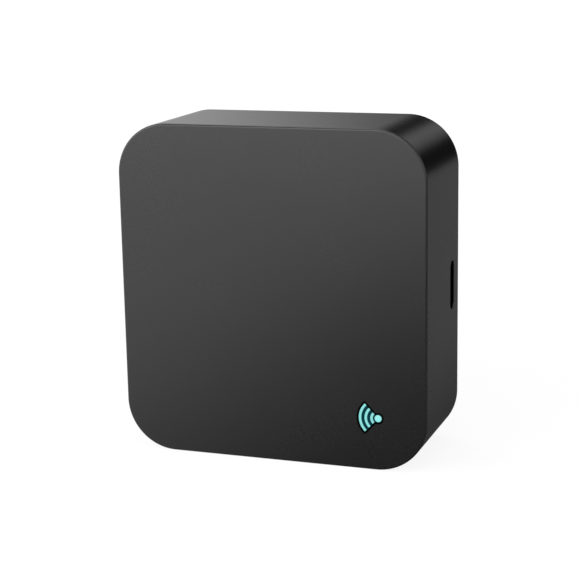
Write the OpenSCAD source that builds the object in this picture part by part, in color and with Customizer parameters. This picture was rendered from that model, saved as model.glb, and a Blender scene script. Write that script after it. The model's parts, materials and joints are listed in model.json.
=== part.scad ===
// Smart infrared blaster: a palm-sized wireless box that repeats remote control codes.
// It stands on its long edge here, with its face towards -Y and its back pads towards +Y.
// Every piece is drawn on the bench frame: X to the port side, Y up the face, and Z out
// through the face, with Z = 0 on the outer plane of the base plate. standing() turns it upright.

/* [Housing] */
// Width across the face, from the plain side to the port side
body_w = 50; // [49:0.5:52]
// Height of the face
body_h = 52.9; // [52:0.1:55]
// Depth from the base plate's outer plane to the face
body_d = 19.8; // [19.4:0.1:22]
// Radius of the four upright corners
corner_r = 8.1; // [7:0.1:9]
// Thickness of the side walls
wall = 1.8; // [1.6:0.1:1.9]
// Thickness of the face
face_t = 1.6; // [1.4:0.1:1.8]
// Rounding where the face meets the side walls
face_edge_r = 0.35; // [0.3:0.05:1]
// Rounding of the rim round the base plate
rim_edge_r = 0.4; // [0.2:0.1:0.5]

/* [Base plate] */
// Thickness of the base plate
base_t = 1.6; // [1.5:0.1:1.8]
// Width of the cover's rim that shows round the base plate
rim_t = 1; // [0.9:0.05:1.1]
// Gap of the seam between the rim and the base plate
seam = 0.12; // [0.08:0.02:0.2]
// Radius of a rubber pad
pad_r = 4; // [3:0.5:4.5]
// How far the pads stand out from the base plate
pad_proud = 0.6; // [0.4:0.1:0.8]
// Depth of the seat that holds a pad
pad_seat = 0.7; // [0.5:0.1:0.8]

/* [Charging port] */
// Length of the slot in the side wall
slot_w = 7.8; // [7.6:0.1:8.2]
// Width of the slot
slot_t = 2.3; // [2.2:0.1:2.6]
// Height of the slot's centre above the base plate's outer plane
slot_z = 4.2; // [3.9:0.1:4.3]
// How far the socket's mouth sits inside the outer wall
mouth_inset = 1.2; // [0.9:0.1:1.4]

/* [Signal mark] */
// Radius of the dot
dot_r = 0.58; // [0.5:0.02:0.6]
// Number of arcs
arc_count = 3; // [2:1:3]
// Radius of the first arc's centreline
arc_first_r = 1.06; // [1.06:0.02:1.3]
// Step from one arc to the next
arc_step = 0.92; // [0.8:0.01:0.95]
// Width of an arc's stroke
arc_stroke = 0.4; // [0.3:0.02:0.42]
// Half of the angle that an arc spans
arc_half_angle = 46.5; // [35:0.5:60]

/* [Reset button] */
// Radius of the cap
cap_r = 2.2; // [1.8:0.1:2.4]
// Travel from rest to fully pressed
cap_travel = 0.3; // [0.2:0.05:0.4]

/* [Infrared lamps] */
// Radius of a lamp's lens
lamp_r = 2.5; // [2:0.1:2.5]
// Length of a lamp from its flange to the tip of the lens
lamp_len = 8.6; // [8:0.1:8.8]
// How far the side lamps lean out of the board's plane
lamp_tilt = 25; // [15:1:30]

/* [Hidden] */
$fn = 64;
fit = 0.1;            // play between pieces that are only laid together
over = 0.5;           // how far a cutter runs past the face that it cuts

// Housing, worked out
back_y = (body_d - pad_proud) / 2;
cavity_w = body_w - 2 * wall;
cavity_h = body_h - 2 * wall;
cavity_r = corner_r - wall;
ceiling_z = body_d - face_t;
plate_inset = rim_t + seam;
pad_x = body_w / 2 - corner_r;
pad_y = body_h / 2 - corner_r;

// Lip of the base plate that centres the cover
lip_t = 0.9;
lip_h = 1.2;

// Snap hooks of the base plate and their catches in the cover
hook_w = 5;
hook_t = 1.1;
hook_top = 6;
nose_low = 4.2;
nose_high = 4.7;
nose_out = 0.5;
catch_low = 4.1;
catch_high = 5.9;
catch_depth = 0.7;

// Board, which hangs over the base plate on four posts
board_w = 42;
board_h = 45;
board_r = 3.5;
board_t = 1.6;
board_low = slot_z + 1.3;
board_high = board_low + board_t;
post_x = 8;
post_y = 19.5;
post_r = 2.6;
screw_r = 1;
peg_r = 0.9;
screw_hole_r = 1.15;
screw_head_r = 1.9;
screw_head_h = 1.1;
screw_len = 4.2;

// Ribs of the cover that hold the board down on the posts
rib_t = 1.2;
rib_reach = 3.2;
rib_y = 9.5;
rib_x = 6;

// Micro socket
socket_w = 7.5;
socket_h = 2.6;
socket_len = 5.6;
socket_narrow = 5.6;
socket_side = 1.55;
socket_r = 0.6;
slot_r = slot_t / 2 - 0.05;
pocket_w = socket_w + 0.6;
pocket_t = socket_h + 0.4;
pocket_r = 0.8;
sheet = 0.25;
mouth_x = body_w / 2 - mouth_inset;
tongue_w = 3.7;
tongue_t = 0.6;
tongue_gap = 0.45;
contact_pitch = 0.65;
contact_w = 0.35;
contact_t = 0.1;
leg_x = 19.2;
leg_w = 1;

// Signal mark and its light guide
mark_x = 17.27 + (body_w - 50) / 2;
mark_y = -18.12 - (body_h - 52.9) / 2;
mark_reach = arc_first_r + (arc_count - 1) * arc_step + arc_stroke / 2;
guide_w = 6.6;
guide_r = 1.2;
guide_t = 1.2;
guide_x = mark_x - (mark_reach - dot_r) / 2;
guide_wall = 0.8;
pipe_low = board_high + 1.3;
mark_play = 0.05;

// Infrared lamps: place on the board, then bearing away from +X
flange_r = 2.9;
flange_t = 1;
lead_pitch = 2.54;
lead_t = 0.5;
lead_back = 1.2;
lead_below = 0.9;
lamp_z = 3.2;
side_lamps = [
    [13.5, -1, 0],
    [12.5, 13.5, 45],
    [0, 14.5, 90],
    [-12.5, 13.5, 135],
    [-12.5, -13.5, 225],
    [0, -14.5, 270]
];
front_lamp = [1.5, 2];
front_lamp_z = 1.2;

// Infrared receiver, laid on its back
receiver_at = [8.5, 7.5];
receiver_size = [7, 6, 3.4];
receiver_z = 0.3;
receiver_lens_r = 2.2;

// Button and its switch
button_at = [10.5, -9.5];
dish_r = 3.6;
dish_depth = 0.4;
cap_low = 0.35;
cap_flange_r = 3;
cap_flange_t = 0.6;
switch_w = 5.1;
switch_h = 1.9;
switch_low = board_low - switch_h;
plunger_r = 1.3;
plunger_low = switch_low - 0.7;
frame_t = 0.2;
chamber_r = 1.9;
dome_rise = cap_travel + 0.1;
dome_t = 0.08;
dome_r = 1.8;

// Radio module on the face side of the board
radio_at = [-11.8, 0];
radio_size = [18, 16, 0.8];
shield_size = [12.4, 14, 2.2];
shield_shift = 2.4;
antenna_t = 0.1;

// Small components: places on the board
capacitor_places = [[4.5, -5.5, 3.15, 7.7], [10.5, -8.5, 2.5, 5.4]];
seat_t = 0.6;
regulator_at = [15, 7.5];
chip_at = [-8, 0];
crystal_at = [-8, 8];
transistor_places = [[-15, -7], [-15, 0], [-15, 7], [0, 9]];
resistor_places = [[-3, -8], [-3, -6], [-3, -4], [-3, -2], [-3, 0], [-3, 2], [3, 5], [3, 7]];
ceramic_places = [[3, -8], [3, -6], [3, -4], [7, 0], [7, -2], [-8, -8], [17, -7]];

// The bench frame stood on the long edge that the face shows as its lower one
module standing() {
    translate([0, back_y, body_h / 2]) rotate([90, 0, 0]) children();
}

// A rectangle with round corners
module rounded_rect(w, h, r) {
    square([w - 2 * r, h], center = true);
    square([w, h - 2 * r], center = true);
    for (sx = [-1, 1], sy = [-1, 1])
        translate([sx * (w / 2 - r), sy * (h / 2 - r)]) circle(r);
}

// A plate with round corners, from one height to another
module rounded_plate(w, h, r, low, high) {
    translate([0, 0, low]) linear_extrude(high - low) rounded_rect(w, h, r);
}

// Half section of a wall: square inside, with its two outer edges rounded
module edge_section(reach, low, high, low_r, high_r) {
    difference() {
        translate([0, low]) square([reach, high - low]);
        translate([reach - high_r, high - high_r]) difference() {
            square(high_r + over);
            circle(high_r);
        }
        translate([reach - low_r, low + low_r]) mirror([0, 1]) difference() {
            square(low_r + over);
            circle(low_r);
        }
    }
}

// A block with round upright corners whose face edge and back edge are rounded too
module soft_block(w, h, r, low, high, low_r, high_r) {
    inner_w = w - 2 * r;
    inner_h = h - 2 * r;
    translate([-inner_w / 2, -inner_h / 2, low]) cube([inner_w, inner_h, high - low]);
    for (side = [0, 180]) rotate(side) {
        translate([inner_w / 2, 0, 0]) rotate([90, 0, 0])
            linear_extrude(inner_h, center = true) edge_section(r, low, high, low_r, high_r);
        translate([0, inner_h / 2, 0]) rotate([90, 0, 90])
            linear_extrude(inner_w, center = true) edge_section(r, low, high, low_r, high_r);
        translate([inner_w / 2, inner_h / 2, 0])
            rotate_extrude(angle = 90) edge_section(r, low, high, low_r, high_r);
        translate([-inner_w / 2, inner_h / 2, 0]) rotate(90)
            rotate_extrude(angle = 90) edge_section(r, low, high, low_r, high_r);
    }
}

// The dot and arcs of the signal mark, opened out by play
module signal_mark(play = 0) {
    translate([mark_x, mark_y]) {
        circle(dot_r + play);
        for (i = [0 : arc_count - 1]) mark_arc(arc_first_r + i * arc_step, play);
    }
}

// One arc of the signal mark, opening away from the port side
module mark_arc(r, play) {
    side = arc_half_angle + atan(play / r);
    far = 2 * r;
    intersection() {
        difference() {
            circle(r + arc_stroke / 2 + play);
            circle(r - arc_stroke / 2 - play);
        }
        polygon([
            [0, 0],
            [-far * cos(side), far * sin(side)],
            [-far, far * sin(side)],
            [-far, -far * sin(side)],
            [-far * cos(side), -far * sin(side)]
        ]);
    }
}

// Puts a child at each snap hook: origin on the cavity wall, +X out through the wall
module at_hooks() {
    for (side = [-1, 1], x = [-13, 13])
        translate([x, side * cavity_h / 2, 0]) rotate(side * 90) children();
    for (y = [-14, 14]) translate([cavity_w / 2, y, 0]) children();
    for (y = [-14, 0, 14]) translate([-cavity_w / 2, y, 0]) rotate(180) children();
}

// Puts a child at each of the four posts
module at_posts() {
    for (sx = [-1, 1], sy = [-1, 1]) translate([sx * post_x, sy * post_y, 0]) children();
}

// Puts a child at each of the two posts that take a screw
module at_screws() {
    for (s = [-1, 1]) translate([s * post_x, -s * post_y, 0]) children();
}

// Puts a child at each of the two posts that carry a peg
module at_pegs() {
    for (s = [-1, 1]) translate([s * post_x, s * post_y, 0]) children();
}

// Puts a child at each hole that a component lead goes through
module at_lead_holes() {
    for (place = side_lamps, side = [-1, 1])
        translate([place[0], place[1], 0]) rotate(place[2])
            translate([-lead_back * cos(lamp_tilt), side * lead_pitch / 2, 0]) children();
    for (side = [-1, 1]) translate([front_lamp[0], front_lamp[1] + side * lead_pitch / 2, 0]) children();
    for (step = [-1, 0, 1]) translate([receiver_at[0] + step * lead_pitch, receiver_lead_y(), 0]) children();
}

function receiver_lead_y() = receiver_at[1] - receiver_size[1] / 2 - 0.8;

// One-piece cover: face and side walls, with the ribs and sockets moulded inside
module cover_shell() {
    color([0.09, 0.09, 0.09]) {
        difference() {
            soft_block(body_w, body_h, corner_r, 0, body_d, rim_edge_r, face_edge_r);
            rounded_plate(cavity_w, cavity_h, cavity_r, base_t - 0.01, ceiling_z);
            rounded_plate(body_w - 2 * rim_t, body_h - 2 * rim_t, corner_r - rim_t, -over, base_t);
            translate([0, 0, ceiling_z - over]) linear_extrude(face_t + 2 * over) signal_mark(mark_play);
            port_slot();
            socket_pocket();
            at_hooks() translate([-over, -hook_w / 2 - 0.3, catch_low])
                cube([catch_depth + over, hook_w + 0.6, catch_high - catch_low]);
        }
        hold_down_ribs();
        guide_socket();
    }
}

// The slot in the port side wall
module port_slot() {
    translate([body_w / 2 - wall - over, 0, slot_z]) rotate([90, 0, 90])
        linear_extrude(wall + 2 * over) rounded_rect(slot_w, slot_t, slot_r);
}

// The pocket inside the port side wall that the socket's mouth sits in
module socket_pocket() {
    low = cavity_w / 2 - over;
    translate([low, 0, slot_z]) rotate([90, 0, 90])
        linear_extrude(mouth_x + fit - low) rounded_rect(pocket_w, pocket_t, pocket_r);
}

// Upright ribs on the side walls that press the board onto the posts
module hold_down_ribs() {
    reach = rib_reach + 0.2;
    for (side = [0, 180], y = [-rib_y, rib_y]) rotate(side)
        translate([cavity_w / 2 + 0.2 - reach, y - rib_t / 2, board_high])
            cube([reach, rib_t, ceiling_z - board_high + 0.2]);
    for (side = [-1, 1], x = [-rib_x, rib_x])
        translate([x - rib_t / 2, side > 0 ? cavity_h / 2 + 0.2 - reach : -cavity_h / 2 - 0.2, board_high])
            cube([rib_t, reach, ceiling_z - board_high + 0.2]);
}

// A square collar under the face that the light guide pushes into
module guide_socket() {
    outer = guide_w + 2 * (fit + guide_wall);
    inner = guide_w + 2 * fit;
    translate([guide_x, mark_y, ceiling_z - 2.2]) linear_extrude(2.4) difference() {
        rounded_rect(outer, outer, guide_r + fit + guide_wall);
        rounded_rect(inner, inner, guide_r + fit);
    }
}

// Base plate with its lip, posts, snap hooks and the guide for the button
module base_plate() {
    plate_w = body_w - 2 * plate_inset;
    plate_h = body_h - 2 * plate_inset;
    color([0.1, 0.1, 0.1]) difference() {
        union() {
            soft_block(plate_w, plate_h, corner_r - plate_inset, 0, base_t, 0.2, 0.1);
            base_lip();
            at_posts() cylinder(r = post_r, h = board_low);
            at_pegs() cylinder(r = peg_r, h = board_high - 0.3);
            at_hooks() snap_hook();
            translate([button_at[0], button_at[1], 0]) cylinder(r = cap_flange_r + 0.9, h = base_t + 0.8);
        }
        for (i = [1 : 4]) at_pad(i) translate([0, 0, -over]) cylinder(r = pad_r + fit, h = pad_seat + over);
        at_screws() translate([0, 0, board_low - screw_len + board_t - 0.4]) cylinder(r = screw_r, h = screw_len + 1);
        translate([button_at[0], button_at[1], 0]) button_well();
    }
}

// What the button needs cut away: the dish, the hole and the chamber for its flange
module button_well() {
    translate([0, 0, -over]) cylinder(r = dish_r, h = dish_depth + over);
    translate([0, 0, -over]) cylinder(r = cap_r + 0.15, h = base_t + 2 * over);
    translate([0, 0, base_t]) cylinder(r = cap_flange_r + 0.15, h = 2);
}

// The raised lip, open at the port, the hooks and the ribs of the cover
module base_lip() {
    difference() {
        translate([0, 0, base_t - 0.2]) linear_extrude(lip_h + 0.2) difference() {
            rounded_rect(cavity_w - 2 * fit, cavity_h - 2 * fit, cavity_r - fit);
            rounded_rect(cavity_w - 2 * (fit + lip_t), cavity_h - 2 * (fit + lip_t), cavity_r - fit - lip_t);
        }
        translate([cavity_w / 2 - 3, -pocket_w / 2 - 0.5, base_t]) cube([6, pocket_w + 1, lip_h + 1]);
        at_hooks() translate([-2, -hook_w / 2 - 0.8, base_t]) cube([4, hook_w + 1.6, lip_h + 1]);
    }
}

// A cantilever hook that rises from the base plate and snaps into the cover
module snap_hook() {
    translate([-fit - hook_t, hook_w / 2, 0]) rotate([90, 0, 0]) linear_extrude(hook_w) polygon([
        [0, base_t - 0.2],
        [hook_t, base_t - 0.2],
        [hook_t, nose_low],
        [hook_t + nose_out, nose_low],
        [hook_t + nose_out, nose_high],
        [hook_t - 0.1, hook_top],
        [0.4, hook_top],
        [0, nose_low]
    ]);
}

// Puts a child at one of the four pads
module at_pad(i) {
    translate([(i == 1 || i == 4 ? 1 : -1) * pad_x, (i < 3 ? 1 : -1) * pad_y, 0]) children();
}

// A rubber pad with a rounded rim
module foot_pad(i) {
    rim = 0.35;
    color([0.16, 0.16, 0.17]) at_pad(i) rotate_extrude() difference() {
        translate([0, -pad_proud]) square([pad_r, pad_seat + pad_proud]);
        translate([pad_r - rim, rim - pad_proud]) mirror([0, 1]) difference() {
            square(rim + over);
            circle(rim);
        }
    }
}

// Clear guide that carries light from the status lamp up into the signal mark
module signal_light_guide() {
    color([0.55, 0.95, 0.93]) {
        translate([0, 0, ceiling_z - 0.1]) linear_extrude(face_t + 0.1) signal_mark();
        translate([guide_x, mark_y, ceiling_z - guide_t]) linear_extrude(guide_t) rounded_rect(guide_w, guide_w, guide_r);
        translate([guide_x, mark_y, pipe_low])
            cylinder(r1 = 1.7, r2 = 2.6, h = ceiling_z - guide_t - pipe_low + 0.1);
    }
}

// Main board with its screw holes, peg holes, lead holes and the slots for the socket's legs
module main_board() {
    color([0.05, 0.3, 0.18]) difference() {
        rounded_plate(board_w, board_h, board_r, board_low, board_high);
        translate([0, 0, board_low - over]) {
            at_screws() cylinder(r = screw_hole_r, h = board_t + 2 * over);
            at_pegs() cylinder(r = peg_r + fit, h = board_t + 2 * over);
            at_lead_holes() cylinder(r = 0.45, h = board_t + 2 * over, $fn = 24);
            for (side = [-1, 1]) translate([leg_x - 0.15, side * (socket_w - sheet) / 2 - 0.3, 0])
                cube([leg_w + 0.3, 0.6, board_t + 2 * over]);
        }
    }
}

// Two pan head screws with cross recesses
module board_screws() {
    color("silver") at_screws() {
        translate([0, 0, board_high - screw_len]) cylinder(r = screw_r - 0.03, h = screw_len);
        difference() {
            translate([0, 0, board_high]) rotate_extrude() difference() {
                square([screw_head_r, screw_head_h]);
                translate([screw_head_r - 0.5, screw_head_h - 0.5]) difference() {
                    square(1);
                    circle(0.5);
                }
            }
            for (turn = [0, 90]) rotate(turn) translate([-1.1, -0.2, board_high + 0.5]) cube([2.2, 0.4, 1]);
        }
    }
}

// Section of the micro socket seen from its mouth: wide side towards the base plate
module socket_section(inset) {
    wide = socket_w / 2 - inset;
    narrow = socket_narrow / 2 - inset * 0.6;
    r = socket_r - inset;
    for (side = [-1, 1]) translate([side * (wide - r), inset + r]) circle(r);
    polygon([
        [r - wide, inset],
        [wide - r, inset],
        [wide, inset + r],
        [wide, socket_side],
        [narrow, socket_h - inset],
        [-narrow, socket_h - inset],
        [-wide, socket_side],
        [-wide, inset + r]
    ]);
}

// Turns a section drawn across the socket so that it runs inwards from the mouth
module into_socket(from, length) {
    translate([mouth_x - from - length, 0, board_low - socket_h]) rotate([90, 0, 90])
        linear_extrude(length) children();
}

// Folded metal shell of the micro socket, with two legs and its spring windows
module usb_shell() {
    color([0.75, 0.76, 0.78]) {
        difference() {
            into_socket(0, socket_len) difference() {
                socket_section(0);
                socket_section(sheet);
            }
            for (side = [-1, 1]) translate([mouth_x - 3.6, side * 2.2 - 0.45, board_low - socket_h - over])
                cube([1.9, 0.9, over + sheet + 0.05]);
        }
        for (side = [-1, 1]) translate([leg_x, side * (socket_w - sheet) / 2 - sheet / 2, board_low - socket_side])
            cube([leg_w, sheet, socket_side + board_t + 0.7]);
    }
}

// Moulded body and tongue inside the micro socket
module usb_tongue() {
    low = board_low - socket_h + sheet + tongue_gap;
    color([0.08, 0.08, 0.09]) difference() {
        union() {
            into_socket(socket_len - 1.1, 1.1) socket_section(sheet);
            translate([mouth_x - socket_len, -tongue_w / 2, low]) cube([socket_len - 0.9, tongue_w, tongue_t]);
        }
        usb_contact_strips();
    }
}

// Five sprung contacts with their solder tails
module usb_contacts() {
    color("gold") usb_contact_strips();
}

// The contact strips: along the tongue, up its back and out to the board
module usb_contact_strips() {
    low = board_low - socket_h + sheet + tongue_gap + tongue_t - contact_t;
    back = mouth_x - socket_len - 0.1;
    for (i = [-2 : 2]) translate([0, i * contact_pitch - contact_w / 2, 0]) {
        translate([back, 0, low]) cube([socket_len - 0.9, contact_w, contact_t]);
        translate([back, 0, low]) cube([contact_t, contact_w, board_low - low]);
        translate([back - 0.9, 0, board_low - contact_t]) cube([1, contact_w, contact_t]);
    }
}

// Radio module's own small board with half-round pads along two edges
module radio_board() {
    color([0.06, 0.07, 0.08]) translate([radio_at[0], radio_at[1], board_high]) difference() {
        translate([-radio_size[0] / 2, -radio_size[1] / 2, 0]) cube(radio_size);
        at_castellations() translate([0, 0, -over]) cylinder(r = 0.4, h = radio_size[2] + 2 * over, $fn = 24);
    }
}

// Puts a child at each half-round pad of the radio module, with +Y out over the edge
module at_castellations() {
    for (side = [0, 1], i = [0 : 6]) mirror([0, side]) translate([-4.2 + 2 * i, radio_size[1] / 2, 0]) children();
}

// Solder that joins the radio module's pads to the main board
module radio_solder() {
    color("silver") translate([radio_at[0], radio_at[1], board_high]) at_castellations() {
        cylinder(r = 0.38, h = 0.5, $fn = 24);
        intersection() {
            cylinder(r1 = 0.8, r2 = 0.4, h = 0.6, $fn = 24);
            translate([-1, 0, 0]) cube([2, 2, 2]);
        }
    }
}

// Drawn metal can over the radio chip
module radio_shield() {
    can = shield_size;
    color([0.8, 0.8, 0.82]) translate([radio_at[0] + shield_shift, radio_at[1], board_high + radio_size[2]]) difference() {
        soft_block(can[0], can[1], 0.8, 0, can[2], 0.05, 0.3);
        rounded_plate(can[0] - 0.5, can[1] - 0.5, 0.55, -over, can[2] - 0.25);
        for (x = [-3, 0, 3], y = [-4, 4]) translate([x, y, 0]) cylinder(r = 0.4, h = can[2] + 1, $fn = 24);
    }
}

// Printed zigzag antenna at the free end of the radio module
module radio_antenna() {
    run = 3.4;
    step = 1.6;
    left = radio_at[0] - radio_size[0] / 2 + 0.5;
    color([0.85, 0.6, 0.25]) translate([left, radio_at[1] - 6.4, board_high + radio_size[2]]) {
        for (i = [0 : 8]) translate([0, i * step, 0]) cube([run, 0.4, antenna_t]);
        for (i = [0 : 7]) translate([i % 2 == 0 ? run - 0.4 : 0, i * step, 0]) cube([0.4, step + 0.4, antenna_t]);
    }
}

// Lens body of a lamp, pointing along +X from the back of its flange
module lamp_lens() {
    rotate([0, 90, 0]) {
        difference() {
            cylinder(r = flange_r, h = flange_t);
            translate([lamp_r, -flange_r, -over]) cube([flange_r, 2 * flange_r, flange_t + 2 * over]);
        }
        cylinder(r = lamp_r, h = lamp_len - lamp_r);
        translate([0, 0, lamp_len - lamp_r]) sphere(r = lamp_r);
    }
}

// A child moved from a lamp's own frame to its place over the board
module at_side_lamp(place) {
    translate([place[0], place[1], board_high + lamp_z]) rotate([0, -lamp_tilt, place[2]]) children();
}

// One of the infrared lamps: six lean outwards round the board, and the seventh faces the front
module ir_lamp(i) {
    color([0.35, 0.33, 0.45]) {
        if (i <= len(side_lamps)) at_side_lamp(side_lamps[i - 1]) lamp_lens();
        else translate([front_lamp[0], front_lamp[1], board_high + front_lamp_z]) rotate([0, -90, 0]) lamp_lens();
    }
}

// A bent lead in the lamp's upright plane: back from the flange, then down through the board
module bent_lead() {
    back_x = -lead_back * cos(lamp_tilt);
    back_z = -lead_back * sin(lamp_tilt);
    end_z = -lamp_z - board_t - lead_below;
    rotate([90, 0, 0]) linear_extrude(lead_t, center = true) {
        difference() {
            rotate(lamp_tilt) translate([-lead_back, -lead_t / 2]) square([lead_back, lead_t]);
            translate([back_x - 2, back_z]) mirror([0, 0]) square([2 - lead_t, 4]);
        }
        translate([back_x, back_z]) circle(lead_t / 2);
        translate([back_x - lead_t / 2, end_z]) square([lead_t, back_z - end_z]);
    }
}

// Leads of all the infrared lamps
module ir_lamp_leads() {
    color("silver") {
        for (place = side_lamps, side = [-1, 1])
            translate([place[0], place[1], board_high + lamp_z]) rotate(place[2])
                translate([0, side * lead_pitch / 2, 0]) bent_lead();
        for (side = [-1, 1])
            translate([front_lamp[0] - lead_t / 2, front_lamp[1] + side * lead_pitch / 2 - lead_t / 2, board_low - lead_below])
                cube([lead_t, lead_t, lead_below + board_t + front_lamp_z]);
    }
}

// Moulded receiver with its round lens
module ir_receiver() {
    size = receiver_size;
    color([0.07, 0.06, 0.08]) translate([receiver_at[0], receiver_at[1], board_high + receiver_z]) {
        translate([-size[0] / 2, -size[1] / 2, 0]) cube(size);
        translate([0, 0.4, size[2] - 0.6]) sphere(r = receiver_lens_r);
    }
}

// Three leads of the receiver, out of its side and down through the board
module ir_receiver_leads() {
    lead_z = board_high + receiver_z + 1.2;
    end_z = board_low - lead_below;
    edge_y = receiver_at[1] - receiver_size[1] / 2;
    color("silver") for (step = [-1, 0, 1]) translate([receiver_at[0] + step * lead_pitch - lead_t / 2, 0, 0]) {
        translate([0, receiver_lead_y() - lead_t / 2, lead_z]) cube([lead_t, edge_y - receiver_lead_y() + lead_t / 2, lead_t]);
        translate([0, receiver_lead_y() - lead_t / 2, end_z]) cube([lead_t, lead_t, lead_z - end_z + lead_t]);
    }
}

// Moulded base of the push switch, with the chamber for its dome
module switch_base() {
    color([0.12, 0.12, 0.12]) translate([button_at[0], button_at[1], 0]) difference() {
        translate([-switch_w / 2, -switch_w / 2, switch_low + frame_t]) cube([switch_w, switch_w, switch_h - frame_t]);
        translate([0, 0, switch_low]) cylinder(r = chamber_r, h = switch_h - 0.5);
    }
}

// Thin metal frame that holds the plunger in
module switch_frame() {
    color("silver") translate([button_at[0], button_at[1], 0]) difference() {
        translate([-switch_w / 2, -switch_w / 2, switch_low]) cube([switch_w, switch_w, frame_t]);
        translate([0, 0, switch_low - over]) cylinder(r = plunger_r + 0.12, h = frame_t + 2 * over);
    }
}

// Snap dome that pushes the plunger back
module switch_dome() {
    floor_z = board_low - 0.5;
    sphere_r = (dome_r * dome_r + dome_rise * dome_rise) / (2 * dome_rise);
    color([0.85, 0.82, 0.7]) translate([button_at[0], button_at[1], 0]) intersection() {
        translate([0, 0, floor_z - dome_rise + sphere_r]) difference() {
            sphere(r = sphere_r);
            sphere(r = sphere_r - dome_t);
        }
        translate([0, 0, floor_z - 2]) cylinder(r = dome_r, h = 2);
    }
}

// Four terminals of the push switch, soldered to the board
module switch_terminals() {
    color("silver") for (sx = [-1, 1], sy = [-1, 1])
        translate([button_at[0] + sx * (switch_w / 2 + 0.45) - 0.45, button_at[1] + sy * 1.85 - 0.35, board_low - 0.2])
            cube([0.9, 0.7, 0.2]);
}

// Plunger of the push switch
module switch_plunger() {
    inner = switch_low + frame_t;
    color([0.9, 0.9, 0.88]) translate([button_at[0], button_at[1], 0]) {
        translate([0, 0, plunger_low]) cylinder(r = plunger_r, h = inner - plunger_low + 0.1);
        translate([0, 0, inner + 0.02]) cylinder(r = chamber_r - 0.2, h = 0.3);
        translate([0, 0, inner + 0.2]) cylinder(r = 0.6, h = board_low - 0.5 - dome_rise - inner - 0.22);
    }
}

// Cap of the reset button: it sits in the dish, and its flange keeps it in
module reset_button() {
    color([0.2, 0.2, 0.21]) translate([button_at[0], button_at[1], 0]) {
        difference() {
            translate([0, 0, cap_low]) cylinder(r = cap_r, h = base_t - cap_low + 0.1);
            translate([0, 0, cap_low - 5.85]) sphere(r = 6);
        }
        translate([0, 0, base_t]) cylinder(r = cap_flange_r, h = cap_flange_t);
        translate([0, 0, base_t + cap_flange_t - 0.1]) cylinder(r = 1, h = plunger_low - base_t - cap_flange_t + 0.1);
    }
}

// Status lamp under the light guide
module status_lamp() {
    color([0.95, 0.95, 0.8]) translate([guide_x, mark_y, board_high]) {
        translate([-0.9, -0.75, 0]) cube([1.8, 1.5, 0.6]);
        translate([0, 0, 0.6]) cylinder(r1 = 0.7, r2 = 0.55, h = 0.3);
    }
}

// Metal ends of the status lamp
module status_lamp_ends() {
    color("silver") for (side = [-1, 1]) translate([guide_x + side * 1.15 - 0.25, mark_y - 0.6, board_high])
        cube([0.5, 1.2, 0.4]);
}

// Aluminium can of a capacitor, with its rolled shoulder
module bulk_capacitor(i) {
    place = capacitor_places[i - 1];
    r = place[2];
    color([0.78, 0.79, 0.8]) translate([place[0], place[1], board_high + seat_t]) rotate_extrude() difference() {
        square([r, place[3] - seat_t]);
        translate([r, 1.3]) circle(0.3, $fn = 24);
        translate([r - 0.4, place[3] - seat_t - 0.4]) difference() {
            square(1);
            circle(0.4, $fn = 24);
        }
    }
}

// Moulded seats of the capacitors, with two cropped corners each
module capacitor_seats() {
    color([0.1, 0.1, 0.1]) for (place = capacitor_places) {
        half = place[2] + 0.15;
        crop = half * 0.4;
        translate([place[0], place[1], board_high]) linear_extrude(seat_t) polygon([
            [-half, -half],
            [half - crop, -half],
            [half, crop - half],
            [half, half - crop],
            [half - crop, half],
            [-half, half]
        ]);
    }
}

// Voltage regulator's moulded body, under the board
module voltage_regulator() {
    color([0.1, 0.1, 0.11]) translate([regulator_at[0] - 3.25, regulator_at[1] - 1.75, board_low - 1.7]) cube([6.5, 3.5, 1.6]);
}

// Three legs and the tab of the regulator
module regulator_leads() {
    color("silver") translate([regulator_at[0], regulator_at[1], board_low]) {
        for (step = [-1, 0, 1]) translate([step * 2.3 - 0.35, -3.25, 0]) gull_lead(0.7, 1.5, 0.8);
        translate([1.5, 3.25, 0]) rotate(180) gull_lead(3, 1.5, 0.8);
    }
}

// A formed lead under the board: foot on the board, then up to the body that it leaves
module gull_lead(width, length, drop) {
    t = 0.2;
    translate([0, 0, -t]) cube([width, length * 0.6, t]);
    translate([0, length * 0.6 - t, -drop]) cube([width, t, drop]);
    translate([0, length * 0.6 - t, -drop]) cube([width, length * 0.4 + t, t]);
}

// Lamp driver transistors' moulded bodies
module lamp_transistors() {
    color([0.1, 0.1, 0.11]) for (place = transistor_places)
        translate([place[0] - 1.45, place[1] - 0.65, board_low - 1.1]) cube([2.9, 1.3, 1]);
}

// Three legs for each transistor
module transistor_leads() {
    color("silver") for (place = transistor_places) translate([place[0], place[1], board_low]) {
        for (side = [-1, 1]) translate([side * 0.95 - 0.2, -1.25, 0]) gull_lead(0.4, 0.6, 0.6);
        translate([0.2, 1.25, 0]) rotate(180) gull_lead(0.4, 0.6, 0.6);
    }
}

// Code chip's moulded body
module code_chip() {
    color([0.1, 0.1, 0.11]) translate([chip_at[0], chip_at[1], board_low]) difference() {
        translate([-2, -2.5, -1.6]) cube([4, 5, 1.5]);
        translate([-1.4, 1.8, -2]) cylinder(r = 0.3, h = 0.5, $fn = 24);
    }
}

// Eight legs of the code chip
module code_chip_leads() {
    color("silver") translate([chip_at[0], chip_at[1], board_low])
        for (side = [90, 270], i = [-1.5 : 1 : 1.5]) rotate(side)
            translate([i * 1.27 - 0.2, -3, 0]) gull_lead(0.4, 1, 0.8);
}

// Can of the clock crystal
module clock_crystal() {
    color([0.8, 0.79, 0.72]) translate([crystal_at[0], crystal_at[1], 0])
        rounded_plate(3.2, 2.5, 0.4, board_low - 0.8, board_low);
}

// Bodies of the chip resistors
module chip_resistors() {
    color([0.08, 0.08, 0.1]) for (place = resistor_places)
        translate([place[0] - 0.5, place[1] - 0.4, board_low - 0.45]) cube([1, 0.8, 0.45]);
}

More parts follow.
